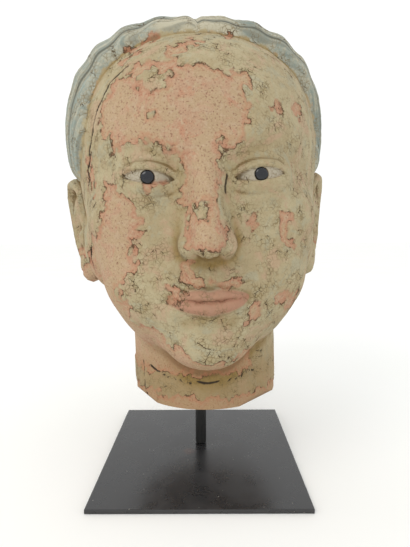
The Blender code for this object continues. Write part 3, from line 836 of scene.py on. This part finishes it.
def step(tree, value, low, high, ends=(0.0, 1.0)):
    """A smooth step between two values."""
    inputs = dict(enumerate((value, low, high, *ends)))
    return add(tree, "MapRange", inputs, interpolation_type="SMOOTHSTEP")


def sums(tree, operation, *values):
    """One arithmetic step on values and outputs."""
    return add(tree, "Math", dict(enumerate(values)), operation=operation)


def cloudy(tree, place, scale, detail, **more):
    """Fractal noise, with its scale in lumps per unit of the place."""
    return add(tree, "TexNoise", {"Vector": place, "Scale": scale, "Detail": detail, **more})


def layered(tree, base, coats):
    """Colours laid one over another, each by its own share."""
    for share, colour in coats:
        colour = srgb(colour) if isinstance(colour, str) else colour
        base = add(tree, "Mix", {0: share, 6: base, 7: colour}, out=2, data_type="RGBA")
    return base


def finish_shader(tree, shader, colour, rough=None, relief=None, depth=0.0, strength=0.5):
    """Links a material's colour, and its roughness and relief where it has them."""
    tree.links.new(colour, shader.inputs["Base Color"])
    if rough is not None:
        tree.links.new(rough, shader.inputs["Roughness"])
    if relief is not None:
        bumps = add(tree, "Bump", {"Height": relief, "Distance": depth, "Strength": strength})
        tree.links.new(bumps, shader.inputs["Normal"])


def crazed_paint_on_earthenware():
    """Low-fired earthenware under a beige ground that crazed and fell off in flakes, with thin paint on it.
    The clay is matt and finely pitted, salmon where it is fresh and tan where a wash of ground is left. The
    ground is smooth, split into cells 2 to 3 mm wide with a few cracks that stand open."""
    name = "fired_earthenware_with_crazed_paint"
    material, tree, shader = new_material(name, 0.86, Specular_IOR_Level=0.25)
    mm = millimetres(tree)
    mask = {
        name: add(tree, "Attribute", out="Fac", attribute_name=name)
        for name in ("bare", "crack", "crease", "hollow", "hair", "strand", "comb", "lips", "eye")
    }
    clouds = cloudy(tree, mm, 0.035, 4.0, Roughness=0.6)
    patches = cloudy(tree, mm, 0.11, 5.0, Roughness=0.7)
    blotches = cloudy(tree, mm, 0.30, 4.0, Roughness=0.65)
    speckle = cloudy(tree, mm, 0.85, 3.0, Roughness=0.6)
    tinge = cloudy(tree, mm, 0.075, 5.0, Roughness=0.65, Distortion=0.6)
    wander = add(tree, "TexNoise", {"Vector": mm, "Scale": 0.30, "Detail": 2.0}, out="Color")
    bent = add(tree, "VectorMath", {0: wander, 1: (2.2, 2.2, 2.2), 2: mm}, operation="MULTIPLY_ADD")

    # Cells of the ground, 2 to 3 mm wide, and open cracks some 8 mm apart where the ground is loose
    cell = add(tree, "TexVoronoi", {"Vector": bent, "Scale": 0.42}, out="Color")
    split = add(tree, "TexVoronoi", {"Vector": bent, "Scale": 0.42}, feature="DISTANCE_TO_EDGE")
    gape = add(tree, "TexVoronoi", {"Vector": bent, "Scale": 0.13}, feature="DISTANCE_TO_EDGE")
    chance = add(tree, "SeparateColor", {0: cell}, out=0)
    loose = step(tree, patches, 0.42, 0.62, (0.06, 0.7))
    split_line = sums(tree, "MULTIPLY", step(tree, split, 0.02, 0.10, (1.0, 0.0)), loose)
    loosest = step(tree, patches, 0.54, 0.62)
    gape_line = sums(tree, "MULTIPLY", step(tree, gape, 0.012, 0.030, (1.0, 0.0)), loosest)

    # The edge of each loss follows the flakes, sharp with a painted shadow for half its way, softly faded for
    # the rest
    ragged = sums(tree, "MULTIPLY_ADD", chance, 0.7, -0.95)
    ragged = sums(tree, "MULTIPLY_ADD", speckle, 1.2, ragged)
    edge = sums(tree, "ADD", mask["bare"], ragged)
    fade = step(tree, patches, 0.42, 0.54, (0.9, 0.1))
    is_bare = step(tree, edge, sums(tree, "MULTIPLY", fade, -1.0), fade)
    near_edge = step(tree, sums(tree, "ABSOLUTE", edge), 0.05, 0.42, (1.0, 0.0))
    painted_edge_shadow = sums(tree, "MULTIPLY", near_edge, step(tree, patches, 0.44, 0.56, (0.0, 0.9)))
    open_crack = step(tree, mask["crack"], 0.45, 1.15, (1.0, 0.0))

    # Paint on the ground: beige on the skin, with ochre soil and painted shade in its hollows and creases
    height = add(tree, "SeparateXYZ", {0: mm}, out=2)
    recess = step(tree, mask["hollow"], 0.1, 2.0)
    off_hairline = step(tree, sums(tree, "ABSOLUTE", mask["hair"]), 1.0, 3.5)
    kept_soil_and_shade = sums(tree, "MAXIMUM", off_hairline, step(tree, patches, 0.48, 0.60))
    crease_soil_and_shade = sums(tree, "MULTIPLY", step(tree, mask["crease"], 0.04, 0.40, (0.0, 0.65)), kept_soil_and_shade)
    hollow_soil_and_shade = sums(tree, "MULTIPLY", recess, step(tree, patches, 0.30, 0.62, (0.55, 1.0)))
    skin = layered(tree, srgb("#AD9D7B"), [
        (step(tree, clouds, 0.40, 0.62, (0.0, 0.8)), "#B9AD8C"),
        (step(tree, patches, 0.50, 0.70, (0.0, 0.6)), "#A08E66"),
        (step(tree, tinge, 0.51, 0.62, (0.0, 0.6)), "#BC9C82"),
        (step(tree, tinge, 0.38, 0.47, (0.55, 0.0)), "#A6A38C"),
        (step(tree, chance, 0.55, 1.0, (0.0, 0.22)), "#C4BA9C"),
        (step(tree, speckle, 0.54, 0.70, (0.0, 0.35)), "#8F7D56"),
        (step(tree, height, 96.0, 74.0, (0.0, 0.6)), "#94794F"),
        # ochre soil and painted shade in the hollows, and a darker brown of both in the creases
        (hollow_soil_and_shade, "#927843"),
        (step(tree, mask["eye"], -0.1, 0.5, (0.0, 0.85)), "#B3AB9A"),
        (crease_soil_and_shade, "#6C5430"),
        (step(tree, mask["lips"], -0.05, 0.25, (0.0, 0.75)), "#B07C67"),
        (SOIL_FILM, SOIL),
    ])

    # Hair: a worn grey-green over beige, in streaks along the strands, with painted shade in the grooves
    # between the strands and darker between the locks. Its front edge is worn unevenly, about 2 mm to and fro
    hair_share = sums(tree, "MULTIPLY_ADD", patches, 14.0, mask["hair"])
    hair_share = sums(tree, "SUBTRACT", hair_share, 7.4)
    turns = sums(tree, "MULTIPLY_ADD", mask["strand"], 2 * math.pi * STRANDS_PER_LOCK, -math.pi / 2)
    strand_groove_shade = step(tree, sums(tree, "SINE", turns), 0.35, 1.0, (0.0, 0.65))
    half_turns = sums(tree, "MULTIPLY", mask["strand"], math.pi)
    lock_wave = sums(tree, "ABSOLUTE", sums(tree, "SINE", half_turns))
    lock_groove_shade = step(tree, lock_wave, 0.04, 0.36, (1.0, 0.0))
    streak_place = add(tree, "CombineXYZ", {0: mask["strand"], 1: mask["comb"], 2: 0.0})
    broad = add(tree, "Mapping", {"Vector": streak_place, "Scale": (2.2, 1.0, 1.0)})
    narrow = add(tree, "Mapping", {"Vector": streak_place, "Scale": (9.0, 2.2, 1.0)})
    streak = cloudy(tree, broad, 1.0, 3.0, Roughness=0.6)
    comb_line = cloudy(tree, narrow, 1.0, 2.0)
    from_top = add(tree, "VectorMath", {0: mm, 1: (1.0, -42.0, 296.0)}, out="Value", operation="DISTANCE")
    worn_top = sums(tree, "MULTIPLY_ADD", blotches, 14.0, from_top)
    tresses = layered(tree, srgb("#A4A597"), [
        (step(tree, streak, 0.38, 0.60, (0.8, 0.0)), "#8B9790"),
        (step(tree, clouds, 0.44, 0.62, (0.0, 0.7)), "#B0AA94"),
        (step(tree, blotches, 0.50, 0.62, (0.0, 0.6)), "#B5AE99"),
        (step(tree, patches, 0.38, 0.50, (0.6, 0.0)), "#7C8C88"),
        (step(tree, comb_line, 0.50, 0.62, (0.0, 0.5)), "#BDB9A6"),
        (step(tree, comb_line, 0.38, 0.48, (0.45, 0.0)), "#707A74"),
        (step(tree, worn_top, 28.0, 40.0, (0.85, 0.0)), "#B9B29B"),
        # painted shade in the grooves between the strands, and darker in the valleys between the locks
        (strand_groove_shade, layered(tree, srgb("#7C8077"), [(step(tree, streak, 0.45, 0.6), "#8A8572")])),
        (lock_groove_shade, "#5D6056"),
    ])

    # Bare clay with the ground's last wash on it, darker in its pits, with soil and painted shade in its
    # hollows and creases
    clay = layered(tree, srgb("#B8957A"), [
        (step(tree, patches, 0.51, 0.64, (0.0, 0.6)), "#BC8468"),
        (step(tree, clouds, 0.44, 0.62, (0.0, 0.65)), "#BEA083"),
        (step(tree, tinge, 0.48, 0.56, (0.8, 0.0)), "#B79F7E"),
        (step(tree, blotches, 0.50, 0.64, (0.0, 0.8)), "#BDA488"),
        (step(tree, speckle, 0.55, 0.68, (0.0, 0.55)), "#CBB094"),
        (step(tree, speckle, 0.34, 0.42, (0.8, 0.0)), "#8A6350"),
        (step(tree, blotches, 0.30, 0.38, (0.65, 0.0)), "#83604A"),
        (step(tree, height, 96.0, 74.0, (0.0, 0.45)), "#9C774F"),
        # soil and painted shade in the bare clay's hollows and creases
        (step(tree, mask["hollow"], 0.3, 2.5, (0.0, 0.5)), "#9E8058"),
        (step(tree, mask["crease"], 0.04, 0.40, (0.0, 0.6)), "#7A583A"),
        (step(tree, edge, 0.2, 2.2, (0.4, 0.0)), "#BB7559"),
        (SOIL_FILM, SOIL),
    ])
    painted = layered(tree, skin, [
        (step(tree, hair_share, -0.4, 1.4), tresses),
        (split_line, "#7E6C49"),
        (gape_line, "#4A3A26"),
    ])
    surface = layered(tree, painted, [
        (is_bare, clay),
        # painted shadow along the paint's broken edge
        (painted_edge_shadow, "#5C4530"),
        (open_crack, "#33291F"),
    ])
    rough = step(tree, is_bare, 0.0, 1.0, (0.78, 0.92))

    lines = sums(tree, "MAXIMUM", split_line, gape_line)
    lines = sums(tree, "MULTIPLY", lines, step(tree, is_bare, 0.0, 1.0, (1.0, 0.0)))
    lines = sums(tree, "MAXIMUM", lines, painted_edge_shadow)
    lines = sums(tree, "MAXIMUM", lines, open_crack)
    relief = sums(tree, "MULTIPLY_ADD", speckle, step(tree, is_bare, 0.0, 1.0, (0.4, 1.6)), 1.0)
    relief = sums(tree, "SUBTRACT", relief, lines)
    finish_shader(tree, shader, surface, rough, relief, 0.0004, 0.8)
    return material


def dark_glass():
    """Moulded black glass: a hard bright glint and a faint blue in it, dulled a little by dust."""
    material, tree, shader = new_material("moulded_dark_glass", 0.10, IOR=1.52)
    mm = millimetres(tree)
    dust = cloudy(tree, mm, 1.6, 4.0)
    colour = layered(tree, srgb("#0B0F18"), [(step(tree, dust, 0.56, 0.78, (0.0, 0.4)), "#4A4A48")])
    finish_shader(tree, shader, colour, step(tree, dust, 0.45, 0.75, (0.08, 0.35)))
    return material


def enamelled_rod():
    """Satin black enamel sprayed on drawn steel bar: an even low sheen with faint lines along it."""
    material, tree, shader = new_material("satin_enamel_on_drawn_steel", 0.42, Specular_IOR_Level=0.5)
    mm = millimetres(tree)
    drawn = add(tree, "Mapping", {"Vector": mm, "Scale": (2.2, 2.2, 0.05)})
    lines = cloudy(tree, drawn, 1.0, 3.0)
    dust = cloudy(tree, mm, 0.7, 4.0)
    colour = layered(tree, srgb("#1B1B1A"), [
        (step(tree, lines, 0.45, 0.70, (0.0, 0.5)), "#242422"),
        (step(tree, dust, 0.62, 0.74, (0.0, 0.35)), "#5C564C"),
    ])
    finish_shader(tree, shader, colour, step(tree, lines, 0.3, 0.7, (0.36, 0.50)), lines, 0.00005)
    return material


def enamelled_plate():
    """Satin black enamel on sheet steel: the fine orange peel of a spray coat, with settled dust, a few rubs,
    and a rust-brown mark beside the rod."""
    material, tree, shader = new_material("satin_enamel_on_sheet_steel", 0.30, Specular_IOR_Level=0.6)
    mm = millimetres(tree)
    peel = cloudy(tree, mm, 0.9, 2.0)
    haze = cloudy(tree, mm, 0.05, 4.0, Roughness=0.6)
    specks = add(tree, "TexVoronoi", {"Vector": mm, "Scale": 0.33}, out="Distance")
    speck_cell = add(tree, "TexVoronoi", {"Vector": mm, "Scale": 0.33}, out="Color")
    chance = add(tree, "SeparateColor", {0: speck_cell}, out=0)
    rare = step(tree, chance, 0.86, 0.90, (0.0, 0.55))
    speck = sums(tree, "MULTIPLY", step(tree, specks, 0.06, 0.14, (1.0, 0.0)), rare)
    from_stain = add(tree, "VectorMath", {0: mm, 1: (-9.0, -4.0, 3.0)}, out="Value", operation="DISTANCE")
    stain = sums(tree, "MULTIPLY_ADD", peel, 5.0, from_stain)
    colour = layered(tree, srgb("#2A2A2B"), [
        (step(tree, haze, 0.45, 0.65, (0.0, 0.6)), "#333334"),
        (step(tree, stain, 5.0, 8.5, (0.55, 0.0)), "#4A2E20"),
        (speck, "#B9B4A8"),
    ])
    finish_shader(tree, shader, colour, step(tree, haze, 0.35, 0.65, (0.24, 0.34)), peel, 0.00004)
    return material


def table_paper():
    """Matt white paper: an even, slightly warm white."""
    material, tree, shader = new_material("matt_white_paper", 0.95, Specular_IOR_Level=0.1)
    mm = millimetres(tree)
    pulp = cloudy(tree, mm, 0.004, 2.0)
    colour = layered(tree, srgb("#FBFBF9"), [(step(tree, pulp, 0.4, 0.6, (0.0, 0.5)), "#F9F9F6")])
    finish_shader(tree, shader, colour)
    return material


# Studio


def add_lamp(name, place, aim, size, power, colour):
    light = bpy.data.lights.new(name, "AREA")
    light.shape = "DISK"
    light.size = size
    light.energy = power
    light.color = srgb(colour)[:3]
    lamp = bpy.data.objects.new(name, light)
    lamp.location = place
    lamp.rotation_euler = (Vector(aim) - lamp.location).to_track_quat("-Z", "Y").to_euler()
    bpy.context.scene.collection.objects.link(lamp)


def add_studio():
    table = bmesh.new()
    bmesh.ops.create_grid(table, x_segments=1, y_segments=1, size=FLOOR_HALF)
    floor = add_piece("floor", table, table_paper())
    world = bpy.data.worlds.new("studio")
    world.use_nodes = True
    sky = world.node_tree.nodes["Background"]
    sky.inputs["Color"].default_value = srgb("#FEFFFF")
    sky.inputs["Strength"].default_value = WORLD_STRENGTH
    bpy.context.scene.world = world
    add_lamp(
        "window", place=(-0.60, -0.70, 0.95), aim=(0.0, 0.0, 0.18), size=0.6, power=3.1, colour="#FFFBF4"
    )
    bpy.context.scene.view_settings.view_transform = "Standard"


def add_camera():
    lens = bpy.data.cameras.new("picture")
    lens.lens = LENS
    lens.sensor_fit = "VERTICAL"
    lens.sensor_height = SENSOR_HEIGHT
    camera = bpy.data.objects.new("picture", lens)
    camera.location = CAMERA_PLACE
    camera.rotation_euler = [math.radians(angle) for angle in CAMERA_TURN]
    bpy.context.scene.collection.objects.link(camera)
    bpy.context.scene.camera = camera


def wear_material(name, material):
    """Gives a node of the frame its finished material."""
    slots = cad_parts[name].material_slots
    for slot in slots:
        slot.material = material


def main():
    add_camera()
    add_studio()
    clay = crazed_paint_on_earthenware()
    glass = dark_glass()
    head = head_piece(clay)
    cut_pockets(head, clay)
    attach(head, "root")
    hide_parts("head")
    for side, name in ((1, "left_pupil"), (-1, "right_pupil")):
        form = lens_form(PUPIL_DIAMETER / 2, PUPIL_DEPTH / 2, pupil_matrix(side))
        bead = add_piece("glass_" + name, form, glass)
        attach(bead, "root")
        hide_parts(name)
    wear_material("rod", enamelled_rod())
    wear_material("base_plate", enamelled_plate())
    bpy.context.view_layer.update()


main()
